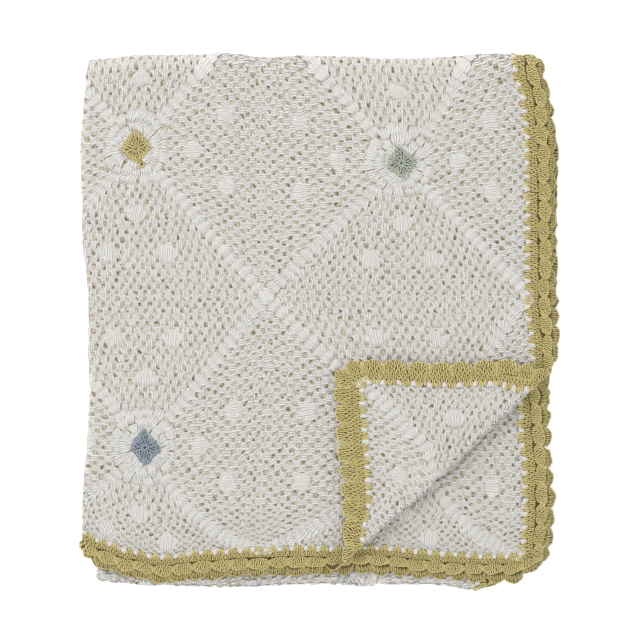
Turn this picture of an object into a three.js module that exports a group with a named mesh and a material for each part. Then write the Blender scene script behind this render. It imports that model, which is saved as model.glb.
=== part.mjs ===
// Crochet throw blanket, folded flat: in half about the left edge, then in thirds
// along its length, with the lower right corner of the top layer turned back.
// Millimetres, +Z up. The origin is on the surface it lies on, under the middle.
import * as THREE from 'three';

// ---- Driving dimensions ----
const sheetThickness = 4;            // crochet with its raised stitches
const layerPitch = 7;                // middle of one layer to the middle of the next
const seamGap = 0.3;                 // between the cloth and its shell edging
const leftFoldX = -252.5;            // centre line of the half fold
const rightEdgeX = 228;              // where the white cloth stops and the edging starts
const frontEndY = -250;              // free end of the top pair
const topFoldY = 271.5;              // centre line of the fold at the top
const bottomFoldY = -279;            // centre line of the fold at the bottom
const innerEndY = 221;               // free end of the pair tucked inside
const sideEdging = 31;               // width of the shell edging along the sides
const endEdging = 35;                // width of the shell edging along the ends

// Middle height of each pair of layers, from the surface upwards.
const halfPitch = layerPitch / 2;
const bottomPairZ = halfPitch + sheetThickness / 2;
const innerPairZ = bottomPairZ + 2 * layerPitch;
const topPairZ = innerPairZ + 2 * layerPitch;
const topFoldRadius = (topPairZ - bottomPairZ) / 2;
const bottomFoldRadius = (innerPairZ - bottomPairZ) / 2;

// The turned-back corner: a straight fold line and the soft roll along it.
const flap = {
  lineStart: [245, -56.5],           // past the right edge of the cloth
  lineEnd: [39.5, -243.5],           // near its front end
  rollRadius: 5,
  liftedPitch: 7.5,                  // height of the flap above the layer that it lies on
  settleLength: 50,                  // how far from the roll it comes down to that height
  reach: 1.13,                       // the loose corner is not squashed as the layer below is
  slide: -0.2,                       // sideways drift of the loose corner along the fold
  ease: 13,                          // how far the loose corner is pulled back along the fold
  easeLength: 22,                    // within this distance of the roll
  sideTuck: 0.2,                     // share by which its side edging is drawn in
  endTuck: 0.27,                     // share by which its end edging is drawn in
  tuckFrom: -60,                     // drawn in from here, measured past the fold line
  tuckTo: 20,
};

// Stations along the cloth, from the free end of the top pair to the tucked end.
const topRun = topFoldY - frontEndY;
const topTurn = Math.PI * topFoldRadius;
const bottomRun = topFoldY - bottomFoldY;
const bottomTurn = Math.PI * bottomFoldRadius;
const innerRun = innerEndY - bottomFoldY;
const stations = { topFold: topRun };
stations.bottomPair = stations.topFold + topTurn;
stations.bottomFold = stations.bottomPair + bottomRun;
stations.innerPair = stations.bottomFold + bottomTurn;
stations.end = stations.innerPair + innerRun;

// Half the width of the cloth, measured along it from the crest of the left fold.
const leftTurn = Math.PI * halfPitch;
const halfWidth = leftTurn / 2 + rightEdgeX - leftFoldX;

// How far each place along the cloth strays at the left fold and at the right edge.
const sideDrift = [
  { along: -endEdging, left: -4, right: -4 },
  { along: 60, left: -3, right: -3 },
  { along: 115, left: 2, right: -1 },
  { along: 185, left: 4, right: 1 },
  { along: 270, left: 3, right: 2 },
  { along: 350, left: -4, right: 1 },
  { along: 440, left: -6, right: 0 },
  { along: topRun - 30, left: -3, right: -4 },
  { along: stations.topFold, left: 1, right: -13 },
  { along: stations.bottomPair, left: 3, right: -16 },
  { along: stations.bottomPair + 90, left: -2, right: 5 },
  { along: stations.bottomPair + 260, left: 2, right: 1 },
  { along: stations.bottomFold - 110, left: 4, right: -12 },
  { along: stations.bottomFold, left: 11, right: -54 },
  { along: stations.innerPair, left: 11, right: -54 },
  { along: stations.innerPair + 110, left: 4, right: -12 },
  { along: stations.end - 160, left: 1, right: 2 },
  { along: stations.end + endEdging, left: 3, right: -6 },
];

// How much further the right edge strays in the upper and the lower layer of each pair.
const edgeDrift = [
  { along: -endEdging, upper: 0, lower: 5 },
  { along: 30, upper: 0, lower: 6 },
  { along: 80, upper: 0, lower: 2 },
  { along: 140, upper: 4, lower: -6 },
  { along: 178, upper: 9, lower: -10 },
  { along: 215, upper: 5, lower: -7 },
  { along: 270, upper: -1, lower: 0 },
  { along: 350, upper: 0, lower: 0 },
];

// How far the front end, the bottom fold and the top fold stray up or down the throw.
const frontDrift = [
  { across: -264, rise: 19 },
  { across: -238, rise: 8 },
  { across: -211, rise: -1.5 },
  { across: -175, rise: -8.5 },
  { across: -121, rise: -2.5 },
  { across: -22, rise: 2.5 },
  { across: 55, rise: -1 },
  { across: 205, rise: -4 },
];
const bottomFoldDrift = [
  { across: -245, rise: 9 },
  { across: -215, rise: 5 },
  { across: -95, rise: -2 },
  { across: 0, rise: 2 },
  { across: 75, rise: 1 },
  { across: 165, rise: -4 },
  { across: 205, rise: 4 },
];
const topFoldDrift = [
  { across: -258, rise: -3 },
  { across: -190, rise: 2 },
  { across: -92, rise: 3 },
  { across: -67, rise: -1 },
  { across: 0, rise: 1 },
  { across: 96, rise: -2 },
  { across: 200, rise: 3 },
  { across: 245, rise: 0 },
];
const overhang = { drop: 14, fromX: 215, fromY: -200, spreadX: 55, spreadY: 85 };   // unsupported corner
const swell = { height: 0.035, acrossWave: 260, downWave: 310 };   // gentle puffiness of the stack

// ---- Helpers ----
const smooth = (t) => {
  const s = Math.min(Math.max(t, 0), 1);
  return s * s * (3 - 2 * s);
};

// Reads a column of a short table at a place, easing from row to row.
function readTable(table, key, place, column) {
  if (place <= table[0][key]) return table[0][column];
  for (let row = 1; row < table.length; row += 1) {
    const before = table[row - 1];
    const after = table[row];
    if (place <= after[key]) {
      const share = smooth((place - before[key]) / (after[key] - before[key]));
      return before[column] + share * (after[column] - before[column]);
    }
  }
  return table[table.length - 1][column];
}

// Values from start to stop in equal steps no longer than the given one.
function steps(start, stop, longest) {
  const count = Math.ceil(Math.abs(stop - start) / longest - 1e-9);
  return Array.from({ length: count + 1 }, (_, i) => start + ((stop - start) * i) / count);
}

const joinSteps = (...runs) => [...new Set(runs.flat().map((value) => Math.round(value * 1e6) / 1e6))];

// ---- The folded shape ----

// Section across the throw: x, the offset from the middle of the pair, and the way out.
function halfFold(across) {
  const turn = leftTurn / 2;
  if (across >= turn) return { x: leftFoldX + across - turn, offset: halfPitch, outX: 0, outOffset: 1 };
  if (across <= -turn) return { x: leftFoldX - across - turn, offset: -halfPitch, outX: 0, outOffset: -1 };
  const angle = across / halfPitch;
  return {
    x: leftFoldX - halfPitch * Math.cos(angle),
    offset: halfPitch * Math.sin(angle),
    outX: -Math.cos(angle),
    outOffset: Math.sin(angle),
  };
}

// Path of the middle of the pair along the throw: y, z and the way that is up on the top pair.
function thirdsFold(along) {
  if (along <= stations.topFold) return { y: frontEndY + along, z: topPairZ, upY: 0, upZ: 1 };
  if (along < stations.bottomPair) {
    const angle = (along - stations.topFold) / topFoldRadius;
    return {
      y: topFoldY + topFoldRadius * Math.sin(angle),
      z: bottomPairZ + topFoldRadius * (1 + Math.cos(angle)),
      upY: Math.sin(angle),
      upZ: Math.cos(angle),
    };
  }
  if (along <= stations.bottomFold) {
    return { y: topFoldY - (along - stations.bottomPair), z: bottomPairZ, upY: 0, upZ: -1 };
  }
  if (along < stations.innerPair) {
    const angle = (along - stations.bottomFold) / bottomFoldRadius;
    return {
      y: bottomFoldY - bottomFoldRadius * Math.sin(angle),
      z: innerPairZ - bottomFoldRadius * (1 + Math.cos(angle)),
      upY: -Math.sin(angle),
      upZ: -Math.cos(angle),
    };
  }
  return { y: bottomFoldY + (along - stations.innerPair), z: innerPairZ, upY: 0, upZ: 1 };
}

// Where a place lies against the diagonal fold line of the corner.
function againstLine(x, y) {
  const [startX, startY] = flap.lineStart;
  const lineX = flap.lineEnd[0] - startX;
  const lineY = flap.lineEnd[1] - startY;
  const length = Math.hypot(lineX, lineY);
  const along = [lineX / length, lineY / length];
  const beyond = [-along[1], along[0]];
  const past = (x - startX) * beyond[0] + (y - startY) * beyond[1];
  const run = (x - startX) * along[0] + (y - startY) * along[1];
  return { along, beyond, past, run };
}

// The turned corner is stretched, so its edging is drawn in.
function tuckEdging(across, along) {
  if (across <= 0 || along >= stations.topFold) return [across, along];
  const overSide = Math.max(across - halfWidth - seamGap, 0);
  const overEnd = Math.max(-along - seamGap, 0);
  const x = leftFoldX + Math.min(across, halfWidth) - leftTurn / 2;
  const { past } = againstLine(x, frontEndY + Math.max(along, 0));
  const drawn = smooth((past - flap.tuckFrom) / (flap.tuckTo - flap.tuckFrom));
  return [across - overSide * flap.sideTuck * drawn, along + overEnd * flap.endTuck * drawn];
}

// Turns the loose corner of the top layer over the fold line.
function turnCorner(x, y, lift) {
  const [startX, startY] = flap.lineStart;
  const { along, beyond, past, run } = againstLine(x, y);
  const layerZ = topPairZ + halfPitch;
  if (past <= 0) return [x, y, layerZ + lift];
  const roll = Math.PI * flap.rollRadius;
  const angle = Math.min(past, roll) / flap.rollRadius;
  const loose = Math.max(past - roll, 0);
  const settled = smooth(loose / flap.settleLength) * (2 * flap.rollRadius - flap.liftedPitch);
  const out = flap.rollRadius * Math.sin(angle) - loose * flap.reach - lift * Math.sin(angle);
  const up = flap.rollRadius * (1 - Math.cos(angle)) - settled + lift * Math.cos(angle);
  const drift = run - loose * flap.slide - flap.ease * smooth(loose / flap.easeLength);
  return [
    startX + along[0] * drift + beyond[0] * out,
    startY + along[1] * drift + beyond[1] * out,
    layerZ + up,
  ];
}

// Lets the folded stack lie unevenly; the face on the surface stays flat.
function settle([x, y, z], along) {
  let nextY = y;
  let nextZ = z;
  if (along <= stations.topFold) {
    nextY += readTable(frontDrift, 'across', x, 'rise') * smooth((-60 - y) / 190);
    const outRight = smooth((x - overhang.fromX) / overhang.spreadX);
    nextZ -= overhang.drop * outRight * smooth((overhang.fromY - y) / overhang.spreadY);
  } else {
    nextY += readTable(bottomFoldDrift, 'across', x, 'rise') * smooth((-120 - y) / 150);
  }
  nextY += readTable(topFoldDrift, 'across', x, 'rise') * smooth((y - 120) / 150);
  const wave = Math.sin((2 * Math.PI * x) / swell.acrossWave + 0.7) * Math.sin((2 * Math.PI * y) / swell.downWave - 0.4);
  return [x, nextY, nextZ * (1 + swell.height * wave)];
}

// Rounds the four corners of the edging.
function roundCorner(across, along) {
  const overSide = Math.abs(across) - halfWidth;
  const overEnd = Math.max(-along, along - stations.end);
  if (overSide <= 0 || overEnd <= 0) return [across, along];
  const side = overSide / sideEdging;
  const end = overEnd / endEdging;
  const shrink = Math.max(side, end) / Math.hypot(side, end);
  const reach = halfWidth + overSide * shrink;
  const over = overEnd * shrink;
  return [Math.sign(across) * reach, along < 0 ? -over : stations.end + over];
}

// Place of a point of the cloth: across from the left fold, along from the front end,
// and lift above the middle of its thickness on the side that faces out.
function place(flatAcross, flatAlong, lift) {
  const [across, along] = tuckEdging(...roundCorner(flatAcross, flatAlong));
  const section = halfFold(across);
  const path = thirdsFold(along);
  const share = smooth(Math.abs(across) / halfWidth);
  const left = readTable(sideDrift, 'along', along, 'left');
  const right = readTable(sideDrift, 'along', along, 'right');
  const edge = across > 0 ? readTable(edgeDrift, 'along', along, 'upper') : readTable(edgeDrift, 'along', along, 'lower');
  const x = section.x + section.outX * lift + left * (1 - share) + (right + edge) * share;
  const offset = section.offset + section.outOffset * lift;
  const onTopLayer = across >= leftTurn / 2 && along < stations.topFold;
  const folded = onTopLayer
    ? turnCorner(x, path.y, lift)
    : [x, path.y + path.upY * offset, path.z + path.upZ * offset];
  return settle(folded, along);
}

// ---- Closed sheets over a grid of cells ----
function sheet(acrossLines, alongLines, isCloth) {
  const columns = acrossLines.length;
  const rows = alongLines.length;
  const half = sheetThickness / 2;
  const positions = [];
  const numbers = new Map();
  const vertex = (column, row, side) => {
    const key = (row * columns + column) * 2 + side;
    if (!numbers.has(key)) {
      numbers.set(key, positions.length / 3);
      positions.push(...place(acrossLines[column], alongLines[row], side ? half : -half));
    }
    return numbers.get(key);
  };
  const has = (column, row) => column >= 0 && row >= 0 && column < columns - 1 && row < rows - 1
    && isCloth(column, row);
  const faces = [];
  // A wall's diagonal runs the same way on both sides of a seam, so the two stay parallel.
  const wall = (a, b) => {
    const [a0, a1, b0, b1] = [vertex(...a, 0), vertex(...a, 1), vertex(...b, 0), vertex(...b, 1)];
    if (b[0] + b[1] > a[0] + a[1]) faces.push(a0, b0, b1, a0, b1, a1);
    else faces.push(a0, b0, a1, b0, b1, a1);
  };
  for (let row = 0; row < rows - 1; row += 1) {
    for (let column = 0; column < columns - 1; column += 1) {
      if (!has(column, row)) continue;
      const corners = [[column, row], [column + 1, row], [column + 1, row + 1], [column, row + 1]];
      const outer = corners.map((corner) => vertex(...corner, 1));
      const inner = corners.map((corner) => vertex(...corner, 0));
      faces.push(outer[0], outer[1], outer[2], outer[0], outer[2], outer[3]);
      faces.push(inner[0], inner[2], inner[1], inner[0], inner[3], inner[2]);
      if (!has(column, row - 1)) wall(corners[0], corners[1]);
      if (!has(column + 1, row)) wall(corners[1], corners[2]);
      if (!has(column, row + 1)) wall(corners[2], corners[3]);
      if (!has(column - 1, row)) wall(corners[3], corners[0]);
    }
  }
  const geometry = new THREE.BufferGeometry();
  geometry.setAttribute('position', new THREE.Float32BufferAttribute(positions, 3));
  geometry.setIndex(faces);
  geometry.computeVertexNormals();
  return geometry;
}

// Grid lines: close together across the turned corner and the folds, wide elsewhere.
const fineStep = 13;
const wideStep = 60;
const cornerFrom = leftTurn / 2 + 20 - leftFoldX;      // left of the turned corner
const cornerUpTo = 200;                                // top of the turned corner, along the cloth
const acrossBody = joinSteps(
  steps(-halfWidth, -leftTurn / 2, wideStep),
  steps(-leftTurn / 2, leftTurn / 2, leftTurn / 4),
  steps(leftTurn / 2, cornerFrom, wideStep),
  steps(cornerFrom, halfWidth, fineStep),
);
const alongBody = joinSteps(
  steps(0, cornerUpTo, fineStep),
  steps(cornerUpTo, stations.topFold, wideStep),
  steps(stations.topFold, stations.bottomPair, topTurn / 6),
  steps(stations.bottomPair, stations.bottomFold, wideStep),
  steps(stations.bottomFold, stations.innerPair, bottomTurn / 5),
  steps(stations.innerPair, stations.end, wideStep),
);

function clothGeometry() {
  return sheet(acrossBody, alongBody, () => true);
}

function edgingGeometry() {
  const inside = halfWidth + seamGap;
  const outside = halfWidth + sideEdging;
  const across = joinSteps(
    steps(-outside, -inside, fineStep),
    acrossBody.slice(1, -1),
    steps(inside, outside, fineStep),
  );
  const along = joinSteps(
    steps(-endEdging, -seamGap, fineStep),
    alongBody.slice(1, -1),
    steps(stations.end + seamGap, stations.end + endEdging, fineStep),
  );
  const onRim = (column, row) => across[column + 1] < -halfWidth || across[column] > halfWidth
    || along[row + 1] < 0 || along[row] > stations.end;
  return sheet(across, along, onRim);
}

// ---- The throw ----
const whiteCotton = new THREE.MeshStandardMaterial({ color: 0xdcd9d1, roughness: 0.95, metalness: 0 });
const mustardCotton = new THREE.MeshStandardMaterial({ color: 0xb7a75f, roughness: 0.95, metalness: 0 });

const throwBlanket = new THREE.Group();

const cloth = new THREE.Mesh(clothGeometry(), whiteCotton);
cloth.name = 'cloth';
throwBlanket.add(cloth);

const edging = new THREE.Mesh(edgingGeometry(), mustardCotton);
edging.name = 'shell_edging';
throwBlanket.add(edging);

// The origin sits under the middle of the finished stack.
const middle = new THREE.Box3().setFromObject(throwBlanket).getCenter(new THREE.Vector3());
throwBlanket.position.set(-middle.x, -middle.y, 0);

export default throwBlanket;
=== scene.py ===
import math
import bpy
import numpy as np
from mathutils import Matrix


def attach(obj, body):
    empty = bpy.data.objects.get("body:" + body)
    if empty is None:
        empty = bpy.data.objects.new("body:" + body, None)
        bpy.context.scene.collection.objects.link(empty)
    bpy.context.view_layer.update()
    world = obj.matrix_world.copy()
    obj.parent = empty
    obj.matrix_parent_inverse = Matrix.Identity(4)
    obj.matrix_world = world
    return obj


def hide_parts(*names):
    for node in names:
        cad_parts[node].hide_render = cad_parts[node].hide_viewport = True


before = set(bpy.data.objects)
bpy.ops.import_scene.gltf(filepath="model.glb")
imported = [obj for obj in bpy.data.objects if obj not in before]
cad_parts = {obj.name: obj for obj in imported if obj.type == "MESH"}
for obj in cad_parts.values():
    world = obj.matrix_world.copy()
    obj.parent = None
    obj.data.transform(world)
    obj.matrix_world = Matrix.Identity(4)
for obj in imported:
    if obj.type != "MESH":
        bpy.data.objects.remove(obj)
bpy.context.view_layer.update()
print("frame loaded")

mm = 0.001
pi = math.pi
scene = bpy.context.scene

# The folded shape, in millimetres
fold = {
    "layerPitch": 7.0,
    "sheetThickness": 4.0,
    "leftFoldX": -252.5,
    "rightEdgeX": 228.0,
    "frontEndY": -250.0,
    "topFoldY": 271.5,
    "bottomFoldY": -279.0,
    "innerEndY": 221.0,
    "sideEdging": 31.0,
    "endEdging": 35.0,
    "frontTuck": 0.4,                # the front edging is drawn in by this share over the reach below
    "frontTuckReach": 18,
    "pressed": 1.2,                  # stitches that come lower than this press flat on the surface
}
halfPitch = fold["layerPitch"] / 2
bottomPairZ = halfPitch + fold["sheetThickness"] / 2
innerPairZ = bottomPairZ + 2 * fold["layerPitch"]
topPairZ = innerPairZ + 2 * fold["layerPitch"]
topRadius = (topPairZ - bottomPairZ) / 2
bottomRadius = (innerPairZ - bottomPairZ) / 2
topFoldAt = fold["topFoldY"] - fold["frontEndY"]     # stations along the cloth
bottomPairAt = topFoldAt + pi * topRadius
bottomFoldAt = bottomPairAt + fold["topFoldY"] - fold["bottomFoldY"]
innerPairAt = bottomFoldAt + pi * bottomRadius
clothEnd = innerPairAt + fold["innerEndY"] - fold["bottomFoldY"]
leftTurn = pi * halfPitch
halfWidth = leftTurn / 2 + fold["rightEdgeX"] - fold["leftFoldX"]

corner = {
    "lineStart": (245.0, -56.5),
    "lineEnd": (39.5, -243.5),
    "rollRadius": 5.0,
    "liftedPitch": 7.5,
    "settleLength": 50.0,
    "reach": 1.13,
    "slide": -0.2,
    "ease": 13.0,
    "easeLength": 22.0,
    "sideTuck": 0.2,
    "endTuck": 0.27,
    "tuckFrom": -60.0,
    "tuckTo": 20.0,
}
sideDrift = [                        # along, left, right
    (-fold["endEdging"], -4, -4),
    (60, -3, -3),
    (115, 2, -1),
    (185, 4, 1),
    (270, 3, 2),
    (350, -4, 1),
    (440, -6, 0),
    (topFoldAt - 30, -3, -4),
    (topFoldAt, 1, -13),
    (bottomPairAt, 3, -16),
    (bottomPairAt + 90, -2, 5),
    (bottomPairAt + 260, 2, 1),
    (bottomFoldAt - 110, 4, -12),
    (bottomFoldAt, 11, -54),
    (innerPairAt, 11, -54),
    (innerPairAt + 110, 4, -12),
    (clothEnd - 160, 1, 2),
    (clothEnd + fold["endEdging"], 3, -6),
]
edgeDrift = [                        # along, right edge of the upper layer, of the lower layer
    (-fold["endEdging"], 0, -5),
    (10, 0, -1),
    (45, 0, 2),
    (80, 0, 1),
    (140, 4, -6),
    (178, 9, -10),
    (215, 5, -7),
    (270, -1, 0),
    (350, 0, 0),
]
# Drifts in y at the ends: where one begins, over what length it grows, and its size by x
frontDrift = {"from": -60, "over": -190, "table": [
    (-264, 16), (-238, 5), (-211, -5), (-175, -12), (-121, -6.5), (-70, -3.5), (-22, -2), (20, -2.5),
    (55, -1), (80, -3), (110, -6.5), (143, -9.5), (180, -11.5), (205, -11), (240, -8),
]}
bottomFoldDrift = {"from": -120, "over": -150, "table": [
    (-245, 3), (-215, 0), (-150, -3), (-95, -4), (0, -0.5),
    (40, -2), (75, -1), (120, -1), (168, -7), (205, 2),
]}
topFoldDrift = {"from": 120, "over": 150, "table": [
    (-258, -3), (-190, 2), (-92, 3), (-67, -1), (0, 1), (96, -2), (200, 3), (245, 0),
]}
overhang = {"drop": 14, "fromX": 215, "fromY": -200, "spreadX": 55, "spreadY": 85}
swell = {"height": 0.035, "acrossWave": 260, "downWave": 310, "acrossPhase": 0.7, "downPhase": -0.4}


def smooth(t):
    s = np.clip(t, 0, 1)
    return s * s * (3 - 2 * s)


def readTable(table, place, column=1):
    keys = np.array([row[0] for row in table], float)
    values = np.array([row[column] for row in table], float)
    at = np.clip(place, keys[0], keys[-1])
    row = np.clip(np.searchsorted(keys, at, side="right") - 1, 0, len(keys) - 2)
    share = smooth((at - keys[row]) / (keys[row + 1] - keys[row]))
    return values[row] + share * (values[row + 1] - values[row])


def endDrift(drift, x, y):
    return readTable(drift["table"], x) * smooth((y - drift["from"]) / drift["over"])


cornerAlong = np.subtract(corner["lineEnd"], corner["lineStart"])
cornerAlong = cornerAlong / np.hypot(*cornerAlong)
cornerBeyond = np.array([-cornerAlong[1], cornerAlong[0]])


def pastCorner(x, y):                # how far a place lies beyond the diagonal fold line
    startX, startY = corner["lineStart"]
    return (x - startX) * cornerBeyond[0] + (y - startY) * cornerBeyond[1]


def flatPast(across, along):         # the same for a place on the flat cloth, taken on the upper layer
    return pastCorner(fold["leftFoldX"] + across - leftTurn / 2, fold["frontEndY"] + along)


def turnCorner(x, y, lift):
    startX, startY = corner["lineStart"]
    past = np.maximum(pastCorner(x, y), 0)
    run = (x - startX) * cornerAlong[0] + (y - startY) * cornerAlong[1]
    roll = pi * corner["rollRadius"]
    angle = np.minimum(past, roll) / corner["rollRadius"]
    loose = np.maximum(past - roll, 0)
    settled = smooth(loose / corner["settleLength"]) * (2 * corner["rollRadius"] - corner["liftedPitch"])
    out = corner["rollRadius"] * np.sin(angle) - loose * corner["reach"] - lift * np.sin(angle)
    up = corner["rollRadius"] * (1 - np.cos(angle)) - settled + lift * np.cos(angle)
    drift = run - loose * corner["slide"] - corner["ease"] * smooth(loose / corner["easeLength"])
    newX = startX + cornerAlong[0] * drift + cornerBeyond[0] * out
    newY = startY + cornerAlong[1] * drift + cornerBeyond[1] * out
    turned = past > 0
    layerZ = topPairZ + halfPitch
    return np.where(turned, newX, x), np.where(turned, newY, y), layerZ + np.where(turned, up, lift)


def tuckEdging(across, along):       # the turned corner is stretched, so its edging is drawn in
    overSide = np.maximum(across - halfWidth, 0)
    overEnd = np.maximum(-along, 0)
    past = flatPast(np.clip(across, 0, halfWidth), np.maximum(along, 0))
    drawn = smooth((past - corner["tuckFrom"]) / (corner["tuckTo"] - corner["tuckFrom"]))
    drawn = drawn * (across > 0) * (along < topFoldAt)
    front = (1 - drawn) * (along < topFoldAt) * fold["frontTuck"]
    front = front * np.minimum(overEnd, fold["frontTuckReach"])
    newAcross = across - overSide * corner["sideTuck"] * drawn
    return newAcross, along + overEnd * corner["endTuck"] * drawn + front


def foldPoints(flat):                # across, along and lift on the flat cloth to the folded place
    across, along = tuckEdging(flat[:, 0], flat[:, 1])
    lift = flat[:, 2]
    bend = np.clip(across / halfPitch, -pi / 2, pi / 2)
    straight = np.maximum(np.abs(across) - leftTurn / 2, 0)
    x = fold["leftFoldX"] - halfPitch * np.cos(bend) + straight - np.cos(bend) * lift
    offset = (halfPitch + lift) * np.sin(bend)
    topBend = np.clip(along - topFoldAt, 0, pi * topRadius) / topRadius
    bottomBend = np.clip(along - bottomFoldAt, 0, pi * bottomRadius) / bottomRadius
    y = fold["frontEndY"] + np.minimum(along, topFoldAt) + topRadius * np.sin(topBend)
    y = y - np.clip(along - bottomPairAt, 0, bottomFoldAt - bottomPairAt) - bottomRadius * np.sin(bottomBend)
    y = y + np.maximum(along - innerPairAt, 0)
    z = topPairZ - topRadius * (1 - np.cos(topBend)) + bottomRadius * (1 - np.cos(bottomBend))
    turned = topBend + bottomBend
    share = smooth(np.abs(across) / halfWidth)
    x = x + readTable(sideDrift, along, 1) * (1 - share) + readTable(sideDrift, along, 2) * share
    x = x + readTable(edgeDrift, along, 1) * share * (across > 0)
    x = x + readTable(edgeDrift, along, 2) * share * (across < 0)
    flapX, flapY, flapZ = turnCorner(x, y, lift)
    onTop = (across >= leftTurn / 2) & (along < topFoldAt)
    x = np.where(onTop, flapX, x)
    y = np.where(onTop, flapY, y + np.sin(turned) * offset)
    z = np.where(onTop, flapZ, z + np.cos(turned) * offset)
    onPair = along <= topFoldAt
    rise = np.where(onPair, endDrift(frontDrift, x, y), endDrift(bottomFoldDrift, x, y))
    drop = overhang["drop"] * smooth((x - overhang["fromX"]) / overhang["spreadX"])
    drop = drop * smooth((overhang["fromY"] - y) / overhang["spreadY"]) * onPair
    newY = y + rise + endDrift(topFoldDrift, x, y)
    wave = np.sin(2 * pi * x / swell["acrossWave"] + swell["acrossPhase"])
    wave = wave * np.sin(2 * pi * y / swell["downWave"] + swell["downPhase"])
    newZ = (z - drop) * (1 + swell["height"] * wave)
    pressed = fold["pressed"]
    resting = pressed * np.exp(np.minimum(newZ / pressed - 1, 0))
    return np.stack([x, newY, np.where(newZ < pressed, resting, newZ)], 1)


# The squares on the flat cloth
secondSeam = 602.0
rowPitch = (clothEnd - secondSeam) / 3
columns = [
    {"centre": 57.8, "inner": 138.6, "outer": 138.6},
    {"centre": 348.8, "inner": 152.4, "outer": 137.2},
]
rows = [
    {"centre": 113.6, "low": 162.8, "high": 162.8, "gathered": True},
    {"centre": 430.0, "low": 153.6, "high": 172.0, "gathered": False},
]
for step in range(3):
    middle = secondSeam + rowPitch * (step + 0.5)
    rows.append({"centre": middle, "low": rowPitch / 2, "high": rowPitch / 2, "gathered": False})
centreShift = {(0, 0): (6.0, 0.0), (0, 1): (2.7, -1.1), (1, 0): (3.8, 7.2), (1, 1): (0.0, -7.3)}
rounds = {"count": 16, "inner": 0.25, "corner": 0.068, "closing": 0.09, "easing": 0.2, "side": 300.0}
gather = {                           # the last rounds are pushed together at the front end
    "from": 0.385,
    "start": 0.75,
    "end": 0.25,
    "looseFrom": -30,                # the turned corner lies at its full length
    "looseOver": 50,
}


def gathered(share):                 # how far down a gathered square its rounds lie, from 0 to 1
    def reach(part):
        over = np.maximum(part - gather["from"], 0)
        easing = (gather["end"] - gather["start"]) * over * over / (2 * (1 - gather["from"]))
        return np.minimum(part, gather["from"]) + gather["start"] * over + easing
    return reach(share) / reach(1.0)


def squarePoint(square, a, b):       # a and b run from -1 to 1 over a square
    row, column, layer = square
    col, line = columns[column], rows[row]
    outer, inner = np.maximum(np.abs(a), np.abs(b)), np.minimum(np.abs(a), np.abs(b))
    eased = 1 - rounds["easing"] * (1 - outer) * (inner / np.maximum(outer, 0.001)) ** 2
    a, b = a * eased, b * eased
    across = col["centre"] + np.where(a < 0, a * col["inner"], a * col["outer"])
    share = np.clip(-b, 0, 1)
    if line["gathered"]:
        down = gathered(share) * line["centre"]
        if layer > 0 and column == 1:
            past = flatPast(across, line["centre"] * (1 - share))
            loose = smooth((past - gather["looseFrom"]) / gather["looseOver"])
            down = down * (1 - loose) + share * line["centre"] * loose
    else:
        down = share * line["low"]
    along = line["centre"] + np.maximum(b, 0) * line["high"] - down
    shift = centreShift.get((row, column), (0, 0))
    bump = np.clip(1 - a * a, 0, 1) * np.clip(1 - b * b, 0, 1)
    return np.stack([(across + shift[0] * bump) * layer, along + shift[1] * bump], -1)


def squareFrames(square, a, b, wayA, wayB, width, length):
    step = 0.004                     # how far apart the slopes are taken

    def slope(stepA, stepB):
        ahead = squarePoint(square, a + stepA * step, b + stepB * step)
        return (ahead - squarePoint(square, a - stepA * step, b - stepB * step)) / (2 * step)

    out, side = slope(wayA, wayB), slope(wayB, -wayA)
    turn = np.arctan2(out[:, 1], out[:, 0]) - pi / 2
    facing = np.stack([np.cos(turn), np.sin(turn)], 1)
    wide = np.abs((side * facing).sum(1)) * width
    return squarePoint(square, a, b), turn, wide, np.hypot(out[:, 0], out[:, 1]) * length


def allOf(parts):                    # places, turns, widths and lengths of several rows in one
    return [np.concatenate(part) for part in zip(*parts)]


def sized(places, turns, wide, long):        # places with their turns and their sizes
    return places, turns, np.column_stack([wide + 0 * turns, long + 0 * turns, 1 + 0 * turns])


def slowWave(places, size, phase):   # a smooth unevenness over the cloth that doesn't repeat, from -1 to 1
    u, v = places[:, 0] / size, places[:, 1] / size
    wave = np.sin(6.1 * u + 2.2 * np.sin(3.7 * v + phase))
    wave = wave * np.sin(5.3 * v + 1.9 * np.sin(4.4 * u + 2 * phase))
    return wave * 0.7 + 0.3 * np.sin(13.1 * u + phase) * np.sin(11.7 * v - phase)


# Strands and stitch shapes
def arch(t, start=0.1, reach=0.8):   # the rise of a strand between its two ends
    return np.sin(pi * (start + reach * t))


def tube(path, radius, sides, flatten=1.0):
    path = np.asarray(path, float)
    count = len(path)
    radius = np.broadcast_to(np.asarray(radius, float), (count,))
    nearlyUp = (0.02, 0.03, 1.0)     # no strand runs along this
    tangent = np.gradient(path, axis=0)
    tangent /= np.linalg.norm(tangent, axis=1)[:, None]
    across = np.cross(tangent, nearlyUp)
    across /= np.linalg.norm(across, axis=1)[:, None]
    rise = np.cross(across, tangent)
    around = np.arange(sides) / sides * 2 * pi + (pi / 6 if sides == 3 else pi / 2)
    ring = across[:, None, :] * np.cos(around)[None, :, None]
    ring = ring + rise[:, None, :] * np.sin(around)[None, :, None] * flatten
    points = path[:, None, :] + ring * radius[:, None, None]
    length = np.concatenate([[0], np.cumsum(np.linalg.norm(np.diff(path, axis=0), axis=1))])
    faces, uvs = [], []
    for step in range(count - 1):
        first, second = step * sides, (step + 1) * sides
        low, high = length[step], length[step + 1]
        for k in range(sides):
            n = (k + 1) % sides
            start, end = k / sides, (k + 1) / sides
            faces.append((first + n, first + k, second + k, second + n))
            uvs.append([(low, end), (low, start), (high, start), (high, end)])
    faces.append(tuple(range(sides)))
    uvs.append([(0, k / sides) for k in range(sides)])
    faces.append(tuple((count - 1) * sides + k for k in reversed(range(sides))))
    uvs.append([(length[-1], k / sides) for k in reversed(range(sides))])
    return points.reshape(-1, 3), faces, uvs, True


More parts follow.
